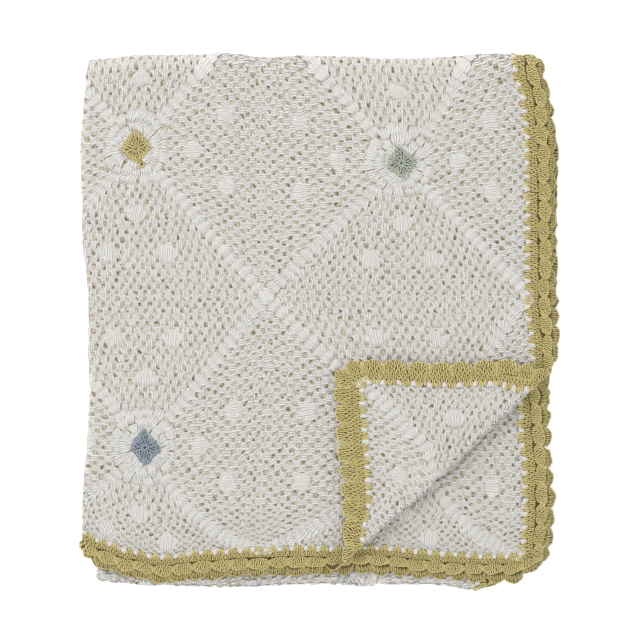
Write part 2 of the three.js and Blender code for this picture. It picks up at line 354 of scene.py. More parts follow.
def plate(outline, low, high):       # a thin flat piece inside an outline
    outline = np.asarray(outline, float)
    count = len(outline)
    points = np.concatenate([np.column_stack([outline, np.full(count, z)]) for z in (low, high)])
    faces = [tuple(reversed(range(count))), tuple(count + k for k in range(count))]
    faces += [(k, (k + 1) % count, count + (k + 1) % count, count + k) for k in range(count)]
    uvs = [[tuple(outline[k % count]) for k in face] for face in faces]
    return points, faces, uvs, False


def closedGrid(rowCount, columnCount):       # faces of a grid of points, of its copy below and of the rim
    grid = np.arange(rowCount * columnCount).reshape(rowCount, columnCount)
    count = grid.size
    faces = []
    for row in range(rowCount - 1):
        for col in range(columnCount - 1):
            a, b, c, d = grid[row, col], grid[row, col + 1], grid[row + 1, col + 1], grid[row + 1, col]
            faces += [(a, b, c, d), (count + a, count + d, count + c, count + b)]
    rim = [*grid[0], *grid[1:, -1], *grid[-1, -2::-1], *grid[-2:0:-1, 0]]
    for a, b in zip(rim, rim[1:] + rim[:1]):
        faces.append((a, count + a, count + b, b))
    return [tuple(int(v) for v in face) for face in faces]


def stitchObject(name, shapes):
    points, faces, uvs, soft, webs, start = [], [], [], [], [], 0
    for shapePoints, shapeFaces, shapeUvs, shapeSoft in shapes:
        points.append(shapePoints)
        faces += [tuple(start + k for k in face) for face in shapeFaces]
        uvs += [uv for face in shapeUvs for uv in face]
        soft += [shapeSoft] * len(shapeFaces)
        webs += [0.0 if shapeSoft else 1.0] * len(shapePoints)
        start += len(shapePoints)
    mesh = bpy.data.meshes.new(name)
    mesh.from_pydata(np.concatenate(points).tolist(), [], faces)
    layer = mesh.uv_layers.new(name="UVMap")
    layer.data.foreach_set("uv", np.array(uvs, float).ravel())
    mesh.polygons.foreach_set("use_smooth", soft)
    # the web attribute marks the plates, which the materials darken as painted shade
    web = mesh.attributes.new("web", "FLOAT", "POINT")
    web.data.foreach_set("value", webs)
    return bpy.data.objects.new(name, mesh)


def triangles(mesh):
    return sum(len(face.vertices) - 2 for face in mesh.polygons)


cornerWork = {                       # a fan of long stitches at a square's corner
    "count": 7,
    "spread": 2.0,
    "length": 11.5,
    "width": 17.0,
    "base": 6.0,
    "strand": 1.05,
    "lift": 0.5,
    "arch": 0.7,
    "uneven": 0.15,                  # odd and even strands lie a little higher and lower
    "start": -1.2,
    "droop": 0.6,
    "bends": 2,
}
bentWork = {**cornerWork, "count": 9, "base": 9.0, "strand": 1.1, "arch": 1.9, "bends": 5}
petalWork = {**cornerWork, "count": 5, "spread": 1.5, "length": 13.0, "width": 11.0}
petalWork.update({"base": 5.0, "start": -6.2, "droop": 0.45})
fanWeb = {"low": -0.2, "high": 0.85, "inset": 0.5, "points": 6}


def fanShape(work):
    shapes = []
    spread, base, start = work["spread"], work["base"], work["start"]

    def tips(angle, inset):
        tipX = (work["width"] / 2 - inset) * np.sin(angle) / math.sin(spread / 2)
        return tipX, (work["length"] - inset) * np.cos(angle) ** work["droop"]

    t = np.linspace(0, 1, work["bends"] + 1)
    for k in range(work["count"]):
        part = k / (work["count"] - 1) * 2 - 1
        tipX, tipY = tips(part * spread / 2, 0)
        x = part * base / 2 * (1 - t) + tipX * t
        z = work["lift"] + work["arch"] * arch(t) + work["uneven"] * (-1) ** k
        thick = work["strand"] * (0.85 + 0.25 * arch(t, 0.15, 0.6))
        shapes.append(tube(np.stack([x, start + tipY * t, z], 1), thick, 3))
    x, y = tips(np.linspace(spread / 2, -spread / 2, fanWeb["points"]), fanWeb["inset"])
    outline = [(-base / 2, start), (base / 2, start), *zip(x, start + y)]
    shapes.append(plate(outline, fanWeb["low"], fanWeb["high"]))
    return shapes


cluster = {                          # a group of long stitches with the chain over it
    "pitch": 11.3,
    "height": 7.0,
    "over": 0.8,
    "gap": 6.45,
    "spread": (0.86, 1.18),          # how far apart the strands are at the foot and at the top
    "lean": 0.9,
    "lift": 1.0,
    "arch": 0.3,
    "uneven": 0.22,
    "chain": 1.1,
    "chainLift": 0.6,
    "chainDip": 0.4,
    "chainBeads": 0.16,
    "waist": 3.15,
    "waistFrom": -1.7,
    "waistTo": 1.5,
    "webLow": -0.1,
    "webHigh": 0.95,
}
fineStrands = {"count": 3, "bends": 2, "strand": 1.02, "chainBends": 6}
plainStrands = {"count": 2, "bends": 1, "strand": 2.1, "chainBends": 2}


def clusterShape(strands, web):
    half = cluster["height"] / 2
    edge = cluster["pitch"] / 2 + 0.1
    count = strands["count"]
    shapes = []
    t = np.linspace(0, 1, strands["bends"] + 1)
    for k in range(count):
        part = k - (count - 1) / 2
        foot, top = cluster["spread"]
        x = part * cluster["gap"] / count * (foot + (top - foot) * t) + (0.5 - t) * cluster["lean"]
        y = -half - cluster["over"] + (cluster["height"] + 2 * cluster["over"]) * t
        z = cluster["lift"] + cluster["arch"] * arch(t) + cluster["uneven"] * (-1) ** k
        shapes.append(tube(np.stack([x, y, z], 1), strands["strand"] * (0.92 + 0.12 * np.sin(pi * t)), 3))
    if web:
        waist, low, high = cluster["waist"], cluster["waistFrom"], cluster["waistTo"]
        outline = [(-edge, -half), (edge, -half), (waist, low), (waist, high)]
        outline += [(edge, half), (-edge, half), (-waist, high), (-waist, low)]
        shapes.append(plate(outline, cluster["webLow"], cluster["webHigh"]))
    s = np.linspace(-0.5, 0.5, strands["chainBends"] + 1)
    chainY = half - cluster["chainDip"] * np.cos(2 * pi * s)
    chain = np.stack([s * (cluster["pitch"] + cluster["over"]), chainY, cluster["chainLift"] + 0 * s], 1)
    beads = cluster["chain"] * (1 + cluster["chainBeads"] * np.cos(2 * pi * s * 3))
    shapes.append(tube(chain, beads, 3, 1.1))
    return shapes


popcorn = {
    "wide": 7.2,
    "long": 17.0,
    "high": 1.6,
    "strand": 1.05,
    "waist": 0.66,                   # its width at the ends
    "roundness": 0.68,
    "lift": 0.2,
    "uneven": 0.2,
}


def popcornShape(sides, bends, count):       # a puff of long stitches drawn together at both ends
    shapes = []
    for k in range(count):
        part = (k - (count - 1) / 2) / ((count - 1) / 2)
        t = np.linspace(0, 1, bends + 1)
        bulge = arch(t, 0.12, 0.76)
        x = part * popcorn["wide"] * (popcorn["waist"] + (1 - popcorn["waist"]) * bulge)
        y = (t - 0.5) * popcorn["long"] * math.sqrt(1 - popcorn["roundness"] * part * part)
        high = popcorn["high"] * (1 - 0.6 * part * part)
        z = popcorn["lift"] + high * bulge + popcorn["uneven"] * (-1) ** k
        shapes.append(tube(np.stack([x, y, z], 1), popcorn["strand"] * (0.8 + 0.2 * bulge), sides))
    return shapes


# Laying stitches with geometry nodes
def addSockets(tree, side, kind, *names):
    for name in names:
        tree.interface.new_socket(name, in_out=side, socket_type="NodeSocket" + kind)


def addNode(tree, kind, inputs, **settings):         # a node with its values set and its links made
    made = tree.nodes.new(kind)
    for name, value in settings.items():
        setattr(made, name, value)
    for name, value in inputs.items():
        if isinstance(value, bpy.types.NodeSocket):
            tree.links.new(value, made.inputs[name])
        else:
            made.inputs[name].default_value = value
    return made


def buildScatter():
    tree = bpy.data.node_groups.new("layStitches", "GeometryNodeTree")
    addSockets(tree, "INPUT", "Geometry", "Geometry")
    addSockets(tree, "OUTPUT", "Geometry", "Geometry")
    addSockets(tree, "INPUT", "Object", "Stitch")
    addSockets(tree, "INPUT", "Float", "Turn Jitter", "Size Jitter", "Place Jitter")
    addSockets(tree, "INPUT", "Int", "Seed")
    addSockets(tree, "INPUT", "Material", "Material")
    source = addNode(tree, "NodeGroupInput", {}).outputs

    def add(kind, inputs, **settings):
        return addNode(tree, kind, inputs, **settings).outputs[0]

    def named(name, kind):
        return add("GeometryNodeInputNamedAttribute", {"Name": name}, data_type=kind)

    def randomValue(kind, low, high, shift):
        seed = add("ShaderNodeMath", {0: source["Seed"], 1: shift}, operation="ADD")
        made = addNode(tree, "FunctionNodeRandomValue", {"Seed": seed}, data_type=kind)
        lowest, highest = [socket for socket in made.inputs if socket.enabled][:2]
        lowest.default_value = low
        highest.default_value = high
        return [socket for socket in made.outputs if socket.enabled][0]

    turn = {0: randomValue("FLOAT", -1.0, 1.0, 0), 1: source["Turn Jitter"], 2: named("turn", "FLOAT")}
    angle = add("ShaderNodeCombineXYZ", {"Z": add("ShaderNodeMath", turn, operation="MULTIPLY_ADD")})
    spread = {0: randomValue("FLOAT_VECTOR", (-1, -1, -1), (1, 1, 1), 1), "Scale": source["Size Jitter"]}
    spread = add("ShaderNodeVectorMath", spread, operation="SCALE")
    stretch = named("stretch", "FLOAT_VECTOR")
    size = add("ShaderNodeVectorMath", {0: spread, 1: stretch, 2: stretch}, operation="MULTIPLY_ADD")
    shift = {0: randomValue("FLOAT_VECTOR", (-1, -1, -0.5), (1, 1, 0.5), 2), "Scale": source["Place Jitter"]}
    shift = add("ShaderNodeVectorMath", shift, operation="SCALE")
    spots = add("GeometryNodeSetPosition", {"Geometry": source["Geometry"], "Offset": shift})
    stitch = addNode(tree, "GeometryNodeObjectInfo", {"Object": source["Stitch"]}).outputs["Geometry"]
    laid = {"Points": spots, "Instance": stitch, "Rotation": angle, "Scale": size}
    real = add("GeometryNodeRealizeInstances", {0: add("GeometryNodeInstanceOnPoints", laid)})
    dressed = add("GeometryNodeSetMaterial", {"Geometry": real, "Material": source["Material"]})
    addNode(tree, "NodeGroupOutput", {0: dressed})
    return tree


scatterTree = buildScatter()
scatterItems = scatterTree.interface.items_tree
scatterIds = {item.name: item.identifier for item in scatterItems if item.in_out == "INPUT"}


def layStitches(stitch, places, turns, stretches, material, seed, jitter):
    mesh = bpy.data.meshes.new("places")
    mesh.from_pydata(np.asarray(places, float).tolist(), [], [])
    turn = mesh.attributes.new("turn", "FLOAT", "POINT")
    turn.data.foreach_set("value", np.asarray(turns, float))
    stretch = mesh.attributes.new("stretch", "FLOAT_VECTOR", "POINT")
    stretch.data.foreach_set("vector", np.asarray(stretches, float).ravel())
    holder = bpy.data.objects.new("places", mesh)
    scene.collection.objects.link(holder)
    modifier = holder.modifiers.new("lay", "NODES")
    modifier.node_group = scatterTree
    settings = {"Stitch": stitch, "Seed": seed, "Material": material}
    settings.update(zip(("Turn Jitter", "Size Jitter", "Place Jitter"), jitter))
    for name, value in settings.items():
        modifier[scatterIds[name]] = value
    graph = bpy.context.evaluated_depsgraph_get()
    result = bpy.data.meshes.new_from_object(holder.evaluated_get(graph))
    bpy.data.objects.remove(holder)
    bpy.data.meshes.remove(mesh)
    return result


pull = {"reach": 0.65, "wave": 16.0}


def pulled(flat):                    # the yarn pulls every hole a little differently
    u, v = flat[:, 0] * 2 * pi / pull["wave"], flat[:, 1] * 2 * pi / pull["wave"]
    moved = flat.copy()
    moved[:, 0] += pull["reach"] * np.sin(v + 2.1 * np.sin(0.47 * u) + 0.9 * np.sin(0.31 * v))
    moved[:, 1] += pull["reach"] * np.sin(u + 1.9 * np.sin(0.53 * v) + 1.1 * np.sin(0.29 * u))
    return moved


def foldMesh(mesh, flip=False, pulls=False):         # keeps the flat height for the materials, which paint shade on the low places
    flat = np.empty(len(mesh.vertices) * 3)
    mesh.vertices.foreach_get("co", flat)
    flat = flat.reshape(-1, 3)
    height = mesh.attributes.new("height", "FLOAT", "POINT")
    height.data.foreach_set("value", flat[:, 2])
    if pulls:
        flat = pulled(flat)
    if flip:
        mesh.flip_normals()
    mesh.vertices.foreach_set("co", (foldPoints(flat * (1, 1, -1 if flip else 1)) * mm).ravel())
    mesh.update()


def joinMeshes(name, meshes):
    made = []
    for mesh in meshes:
        obj = bpy.data.objects.new(name, mesh)
        scene.collection.objects.link(obj)
        made.append(obj)
    bpy.ops.object.select_all(action="DESELECT")
    for obj in made:
        obj.select_set(True)
    bpy.context.view_layer.objects.active = made[0]
    if len(made) > 1:
        bpy.ops.object.join()
    whole = made[0]
    whole.name = name
    whole.data.name = name
    print(name, triangles(whole.data))
    return whole


def folded(places):                  # where points of the cloth come to lie
    return foldPoints(np.column_stack([places, np.zeros(len(places))]))


faceUp = {"flapFrom": 8.0, "leftFold": -8}           # past these a stitch lies on the other face


def inFlap(places, beyond):
    past = flatPast(np.abs(places[:, 0]), places[:, 1])
    return (past > beyond) & (places[:, 0] > 0) & (places[:, 1] < topFoldAt)


def lay(kinds, frames, material, seed, jitter, height=0.0, shown=True, fine=True, beyond=faceUp["flapFrom"]):
    places, turns, sizes = frames
    meshes = []
    lowest = (places[:, 1] > bottomPairAt) & (places[:, 1] < bottomFoldAt)
    flipped = ((places[:, 0] < faceUp["leftFold"]) & ~lowest) | inFlap(places, beyond)
    for level, stitch in enumerate(kinds):           # the fine stitch, then the plain one for hidden places
        for flip in (False, True):
            use = shown & (flipped == flip) & (fine == (level == 0))
            if not use.any():
                continue
            spots = np.column_stack([places[use], np.full(int(use.sum()), height)])
            ownSeed = seed + level * 2 + flip
            mesh = layStitches(stitch, spots, turns[use], sizes[use], material, ownSeed, jitter)
            foldMesh(mesh, flip, True)
            meshes.append(mesh)
    return meshes


# Materials
def principled(name, roughness, sheen):
    material = bpy.data.materials.new(name)
    material.use_nodes = True
    shader = material.node_tree.nodes["Principled BSDF"]
    shader.inputs["Roughness"].default_value = roughness
    shader.inputs["Specular IOR Level"].default_value = 0.25
    shader.inputs["Sheen Weight"].default_value = sheen
    shader.inputs["Sheen Roughness"].default_value = 0.6
    return material, shader


yarnEffect = {
    "fuzz": {"Scale": 900, "Detail": 3},
    "flecks": {"Scale": 120, "Detail": 2},
    "curls": {"Scale": 150, "Distortion": 7.0, "Detail": 1.5, "Detail Scale": 1.6},
    "plies": 2,
    "fuzzDepth": 0.5,
    "grooveFrom": 0.28,
    "fleckRange": (0.35, 0.7),
    "curlRange": (0.55, 0.1),
}


def buildYarnGroup():                # plied twist, fuzz, and painted shade on the yarn low between the stitches
    tree = bpy.data.node_groups.new("pliedYarn", "ShaderNodeTree")
    addSockets(tree, "INPUT", "Color", "Yarn", "ShadeColor")
    addSockets(tree, "INPUT", "Float", "Low", "High", "Twist", "Fleck", "Groove", "Web", "Curl")
    addSockets(tree, "OUTPUT", "Color", "Color")
    addSockets(tree, "OUTPUT", "Float", "Relief")
    source = addNode(tree, "NodeGroupInput", {}).outputs

    def calc(operation, *values):
        return addNode(tree, "ShaderNodeMath", dict(enumerate(values)), operation=operation).outputs[0]

    def blend(amount, low, high):
        inputs = {"Factor": amount, "A": low, "B": high}
        return addNode(tree, "ShaderNodeMix", inputs, data_type="RGBA").outputs["Result"]

    def share(value, low, high):     # 0 at low and 1 at high
        inputs = {"Value": value, "From Min": low, "From Max": high}
        return addNode(tree, "ShaderNodeMapRange", inputs).outputs[0]

    def stored(name):
        return addNode(tree, "ShaderNodeAttribute", {}, attribute_name=name).outputs["Fac"]

    place = {"Vector": addNode(tree, "ShaderNodeTexCoord", {}).outputs["Object"]}
    fuzz = addNode(tree, "ShaderNodeTexNoise", {**place, **yarnEffect["fuzz"]}).outputs["Fac"]
    flecks = addNode(tree, "ShaderNodeTexNoise", {**place, **yarnEffect["flecks"]}).outputs["Fac"]
    curls = {**place, **yarnEffect["curls"]}
    curls = addNode(tree, "ShaderNodeTexWave", curls, bands_direction="DIAGONAL").outputs["Fac"]
    strand = addNode(tree, "ShaderNodeUVMap", {}, uv_map="UVMap").outputs[0]
    strand = addNode(tree, "ShaderNodeSeparateXYZ", {0: strand}).outputs
    twist = calc("DIVIDE", strand["X"], source["Twist"])
    ply = calc("PINGPONG", calc("MULTIPLY_ADD", strand["Y"], yarnEffect["plies"], twist), 0.5)
    ridge = calc("MULTIPLY_ADD", curls, source["Curl"], ply)
    relief = calc("MULTIPLY_ADD", fuzz, yarnEffect["fuzzDepth"], ridge)

    # painted shade: yarn that lies low on the cloth blends towards the shade colour, standing for the shade
    # between the stitches
    litShare = share(calc("ABSOLUTE", stored("height")), source["Low"], source["High"])
    # painted shade in the ply grooves, on the web plates and along the curl lines; only the flecks are the
    # yarn's own uneven tone
    dark = calc("MULTIPLY", share(ply, yarnEffect["grooveFrom"], 0.0), source["Groove"])
    dark = calc("MULTIPLY_ADD", stored("web"), source["Web"], dark)
    dark = calc("MULTIPLY_ADD", share(curls, *yarnEffect["curlRange"]), source["Curl"], dark)
    dark = calc("MULTIPLY_ADD", share(flecks, *yarnEffect["fleckRange"]), source["Fleck"], dark)
    color = blend(calc("MINIMUM", dark, 1.0), blend(litShare, source["ShadeColor"], source["Yarn"]), source["ShadeColor"])
    addNode(tree, "NodeGroupOutput", {"Color": color, "Relief": relief})
    return tree


yarnTree = buildYarnGroup()


def yarnMaterial(name, yarn, shadeColor, relief, effect):
    material, shader = principled(name, 0.92, 0.2)
    tree = material.node_tree
    inputs = {"Yarn": (*yarn, 1), "ShadeColor": (*shadeColor, 1), **effect}
    plied = addNode(tree, "ShaderNodeGroup", inputs, node_tree=yarnTree)
    inputs = {"Strength": 0.7, "Distance": relief * mm, "Height": plied.outputs["Relief"]}
    bump = addNode(tree, "ShaderNodeBump", inputs)
    tree.links.new(plied.outputs["Color"], shader.inputs["Base Color"])
    tree.links.new(bump.outputs["Normal"], shader.inputs["Normal"])
    return material


# How much painted shade the low places, ply grooves, webs and curls of each yarn get, and how dark its
# flecks are
cloth = {"Low": -0.9, "High": 0.4, "Fleck": 0.04, "Groove": 0.06, "Twist": 2.2, "Web": 0.1, "Curl": 0.12}
puff = {**cloth, "Groove": 0.1, "Curl": 0.15}
shell = {**cloth, "Fleck": 0.06, "Groove": 0.15, "Twist": 2.4, "Web": 0.8, "Curl": 0.22}
motif = {**shell, "Low": 1.0, "High": 2.2, "Fleck": 0.08, "Groove": 0.2, "Curl": 0.35}
whiteYarn = yarnMaterial("whiteYarn", (0.88, 0.867, 0.835), (0.62, 0.56, 0.44), 0.4, cloth)
# painted shade: the popcorns take a dimmer copy of the white yarn, so that their raised tops look no
# brighter than the cloth round them
shadedPopcornYarn = yarnMaterial("shadedPopcornYarn", (0.80, 0.787, 0.757), (0.60, 0.54, 0.42), 0.4, puff)
mustardYarn = yarnMaterial("mustardYarn", (0.845, 0.725, 0.31), (0.17, 0.115, 0.012), 0.5, shell)
# painted shade: the back shells take a darker copy of the mustard yarn, for the shade they lie in under the
# front shells
shadedMustardYarn = yarnMaterial("shadedMustardYarn", (0.74, 0.63, 0.26), (0.15, 0.10, 0.010), 0.5, shell)
yellowYarn = yarnMaterial("yellowYarn", (0.74, 0.64, 0.30), (0.25, 0.19, 0.05), 0.5, motif)
greenYarn = yarnMaterial("greenYarn", (0.60, 0.645, 0.525), (0.17, 0.19, 0.14), 0.5, motif)
blueYarn = yarnMaterial("blueYarn", (0.42, 0.475, 0.55), (0.12, 0.15, 0.20), 0.5, motif)
# painted shade seen through the holes: noise mixes dark, tan and pale tones that stand for the shaded yarn
# layers beneath
holeShade = {"Scale": 240, "Detail": 2, "dark": 0.34, "tan": 0.46, "pale": 0.62}


def paintedShadeMaterial(name, dark, tan, pale):
    material, shader = principled(name, 0.95, 0.0)
    tree = material.node_tree
    place = addNode(tree, "ShaderNodeTexCoord", {}).outputs["Object"]
    inputs = {"Vector": place, "Scale": holeShade["Scale"], "Detail": holeShade["Detail"]}
    noise = addNode(tree, "ShaderNodeTexNoise", inputs).outputs["Fac"]
    ramp = addNode(tree, "ShaderNodeValToRGB", {0: noise})
    stops = ramp.color_ramp.elements
    stops[0].position = holeShade["dark"]
    stops[0].color = (*dark, 1)
    stops[1].position = holeShade["pale"]
    stops[1].color = (*pale, 1)
    stops.new(holeShade["tan"]).color = (*tan, 1)
    tree.links.new(ramp.outputs[0], shader.inputs["Base Color"])
    return material


# The cloth sheet under the stitches, coloured with painted shade
sheet = {
    "half": 0.35,                    # half its thickness
    "cornerX": 25,                   # the turned corner's grid is fine from here on and up to frontTo
    "frontTo": 205,
    "fineStep": 5,
    "step": 16,
    "lowerStep": 20,
    "bottomStep": 24,
    "innerStep": 30,
    "leftTurns": 6,                  # steps round each fold
    "topTurns": 10,
    "frontTurns": 8,
    "foldEdge": 12,
}


def gridLines(*runs):
    lines = []
    for start, stop, longest in runs:
        count = max(1, math.ceil(abs(stop - start) / longest))
        lines += [start + (stop - start) * k / count for k in range(count + 1)]
    return np.array(sorted(set(round(v, 6) for v in lines)))


def buildSheet():
    cornerFrom = leftTurn / 2 + sheet["cornerX"] - fold["leftFoldX"]
    across = gridLines(
        (-halfWidth, -leftTurn / 2, sheet["lowerStep"]),
        (-leftTurn / 2, leftTurn / 2, leftTurn / sheet["leftTurns"]),
        (leftTurn / 2, cornerFrom, sheet["step"]),
        (cornerFrom, halfWidth, sheet["fineStep"]),
    )
    along = gridLines(
        (0, sheet["frontTo"], sheet["fineStep"]),
        (sheet["frontTo"], topFoldAt, sheet["step"]),
        (topFoldAt, bottomPairAt, pi * topRadius / sheet["topTurns"]),
        (bottomPairAt, bottomFoldAt, sheet["bottomStep"]),
        (bottomFoldAt, innerPairAt, pi * bottomRadius / sheet["frontTurns"]),
        (innerPairAt, clothEnd, sheet["innerStep"]),
    )
    gridAcross, gridAlong = np.meshgrid(across, along)
    top = np.stack([gridAcross.ravel(), gridAlong.ravel(), np.full(gridAcross.size, sheet["half"])], 1)
    mesh = bpy.data.meshes.new("cloth_sheet")
    points = np.concatenate([top, top * (1, 1, -1)])
    mesh.from_pydata(points.tolist(), [], closedGrid(len(along), len(across)))
    mesh.polygons.foreach_set("use_smooth", [True] * len(mesh.polygons))
    flat = np.empty(len(mesh.polygons) * 3)
    mesh.polygons.foreach_get("center", flat)
    middle = flat[1::3]
    foldMesh(mesh)
    # painted shade: the sheet's tones stand for the shaded layers seen through the holes, paler at the front
    # fold
    clothShadeColours = (0.22, 0.17, 0.09), (0.54, 0.48, 0.37), (0.68, 0.63, 0.53)
    foldShadeColours = (0.50, 0.46, 0.38), (0.66, 0.63, 0.56), (0.74, 0.72, 0.67)
    mesh.materials.append(paintedShadeMaterial("clothPaintedShade", *clothShadeColours))
    mesh.materials.append(paintedShadeMaterial("foldPaintedShade", *foldShadeColours))
    inFold = (middle > bottomFoldAt - sheet["foldEdge"]) & (middle < innerPairAt + sheet["foldEdge"])
    mesh.polygons.foreach_set("material_index", inFold.astype(int).tolist())
    return joinMeshes("cloth_sheet", [mesh])


clothSheet = buildSheet()


# Rounds of the squares
def roundAt(k):                      # the rounds lie closer together towards the seams
    share = (k + 0.5) / rounds["count"]
    reach = (1 + rounds["closing"]) * share - rounds["closing"] * share ** 3
    step = ((1 + rounds["closing"]) - 3 * rounds["closing"] * share ** 2) / rounds["count"]
    return rounds["inner"] + (1 - rounds["inner"]) * reach, (1 - rounds["inner"]) * step


def roundCount(k):                   # odd and even turn about, so that the holes lie in a brick pattern
    wanted = (roundAt(k)[0] - rounds["corner"]) * rounds["side"] / cluster["pitch"]
    return int(2 * round((wanted - k % 2) / 2) + k % 2)


popcornSpots = [(0.45, 0.0), (0.72, 0.33), (0.72, -0.33)]
popcornClear = 8.0
sideWays = [(1, 0), (0, 1), (-1, 0), (0, -1)]
petalRounds = [                      # how far out, how many, how square
    (0.110, 9, 2.0),
    (0.160, 13, 2.3),
    (0.218, 18, 2.8),
]
petalLong = 0.075
view = {                             # where stitches are laid, and where the fine ones
    "openX": 36,                     # right of openX and below openY the lower layer lies open
    "openY": -56,
    "frontTo": 300,                  # stations of the front squares
    "frontFoldTo": 12,               # how far the underside's stitches go past the front fold
    "behindLine": -14,               # measured past the diagonal fold line
    "besideLine": -20,
    "rollFrom": -10.0,
    "overLeft": -30,                 # measured across from the left fold
    "besideLeft": -100,
    "leftFold": 34,
    "middle": -4,
    "fineTop": 10,                   # how far the fine stitches go past the folds
    "fineFold": 28,
    "fineFoldTo": 8,
    "fineLeft": 10,
    "bentFold": 14,
}


def onSide(side, rho, tau):
    wayA, wayB = sideWays[side]
    return wayA * rho - wayB * tau * rho, wayB * rho + wayA * tau * rho


def topShown(places):                # seen from above: the upper layer, the left fold and the turned corner
    spot = folded(places)
    covered = (spot[:, 0] > view["openX"]) & (spot[:, 1] < view["openY"]) & (places[:, 1] < view["frontTo"])
    turned = flatPast(places[:, 0], places[:, 1]) > view["behindLine"]
    return (places[:, 0] > view["overLeft"]) & (places[:, 1] > 0) & ~(covered & ~turned)


def bendShown(places):               # the second row goes on over the top fold
    return topShown(places) & ((places[:, 0] > view["middle"]) | (places[:, 1] < bottomPairAt))


def cornerShown(places):             # seen from above: the lower layer beside the turned corner
    spot = folded(places)
    beside = pastCorner(spot[:, 0], spot[:, 1]) > view["besideLine"]
    return beside & (places[:, 0] < view["besideLeft"]) & (places[:, 1] < view["frontTo"])


def underShown(places):              # the face that lies on the surface, the front fold and the left folds
    lying = (places[:, 0] > view["middle"]) & (places[:, 1] < innerPairAt + view["frontFoldTo"])
    return lying | ((np.abs(places[:, 0]) < view["leftFold"]) & (places[:, 1] > topFoldAt))


def onRoll(places):                  # the roll of the turned corner has stitches on both faces
    return inFlap(places, view["rollFrom"]) & ~inFlap(places, faceUp["flapFrom"])


def within(places, start, end, before, after):
    return (places[:, 1] > start - before) & (places[:, 1] < end + after)


def onFold(places):
    reach = view["bentFold"]
    front = within(places, bottomFoldAt, innerPairAt, reach, reach)
    return front | within(places, topFoldAt, bottomPairAt, reach, reach)


def isFine(places):
    top = places[:, 1] < bottomPairAt + view["fineTop"]
    front = within(places, bottomFoldAt, innerPairAt, view["fineFold"], view["fineFoldTo"])
    return top | front | (np.abs(places[:, 0]) < view["fineLeft"])


def popcornPlaces(square):
    parts = []
    for side, (wayA, wayB) in enumerate(sideWays):
        for rho, tau in popcornSpots:
            a, b = onSide(side, np.array([rho]), np.array([tau]))
            parts.append(squareFrames(square, a, b, wayA, wayB, 1, 1)[:2])
    return allOf(parts)


def clusterPlaces(square):
    puffs = popcornPlaces(square)[0]
    parts = []
    for side, (wayA, wayB) in enumerate(sideWays):
        for k in range(rounds["count"]):
            count = roundCount(k)
            rho, step = roundAt(k)
            clear = 1 - rounds["corner"] / rho
            tau = ((np.arange(count) + 0.5) / count * 2 - 1) * clear
            a, b = onSide(side, np.full(count, rho), tau)
            parts.append(squareFrames(square, a, b, wayA, wayB, 2 * clear * rho / count, step))
    frames = allOf(parts)
    gaps = frames[0][:, None, :] - puffs[None, :, :]
    keep = np.min(np.hypot(gaps[:, :, 0], gaps[:, :, 1]), axis=1) > popcornClear
    return [part[keep] for part in frames]


def petalPlaces(square):             # the dense white rounds about the coloured centre
    parts = []
    for step, (rho, count, power) in enumerate(petalRounds):
        angle = 2 * pi * (np.arange(count) + 0.5 * step + 0.2) / count
        wayA, wayB = np.cos(angle), np.sin(angle)
        norm = (np.abs(wayA) ** power + np.abs(wayB) ** power) ** (1 / power)
        a, b = rho * wayA / norm, rho * wayB / norm
        parts.append(squareFrames(square, a, b, wayA, wayB, 2 * pi * rho / count, petalLong))
    return allOf(parts)


def cornerPlaces(square):
    rho, step = roundAt(np.arange(-1, rounds["count"]) - 0.3)
    parts = []
    for wayA in (-1, 1):
        for wayB in (-1, 1):
            parts.append(squareFrames(square, wayA * rho, wayB * rho, wayA, wayB, 1.0, step))
    return allOf(parts)


fineCluster = stitchObject("fineCluster", clusterShape(fineStrands, True))
plainCluster = stitchObject("plainCluster", clusterShape(plainStrands, False))
finePopcorn = stitchObject("finePopcorn", popcornShape(5, 4, 8))
plainPopcorn = stitchObject("plainPopcorn", popcornShape(3, 3, 5))
cornerFan = stitchObject("cornerFan", fanShape(cornerWork))
bentFan = stitchObject("bentFan", fanShape(bentWork))
petalLeaf = stitchObject("petalLeaf", fanShape(petalWork))
print("cluster", triangles(fineCluster.data), triangles(plainCluster.data))
squareWork = {                       # jitter: of the turn, the size and the place
    "cluster": {"wide": 1.03, "uneven": 0.10, "wave": 160, "jitter": (0.13, 0.13, 0.8)},
    "petal": {"width": 10.5, "length": 11.2, "jitter": (0.34, 0.14, 1.3)},
    "corner": {"length": 9.6, "jitter": (0.16, 0.1, 0.6)},
    "popcorn": {"size": (1.28, 1.2, 0.95), "height": 0.2, "jitter": (0.15, 0.08, 0.8)},
}


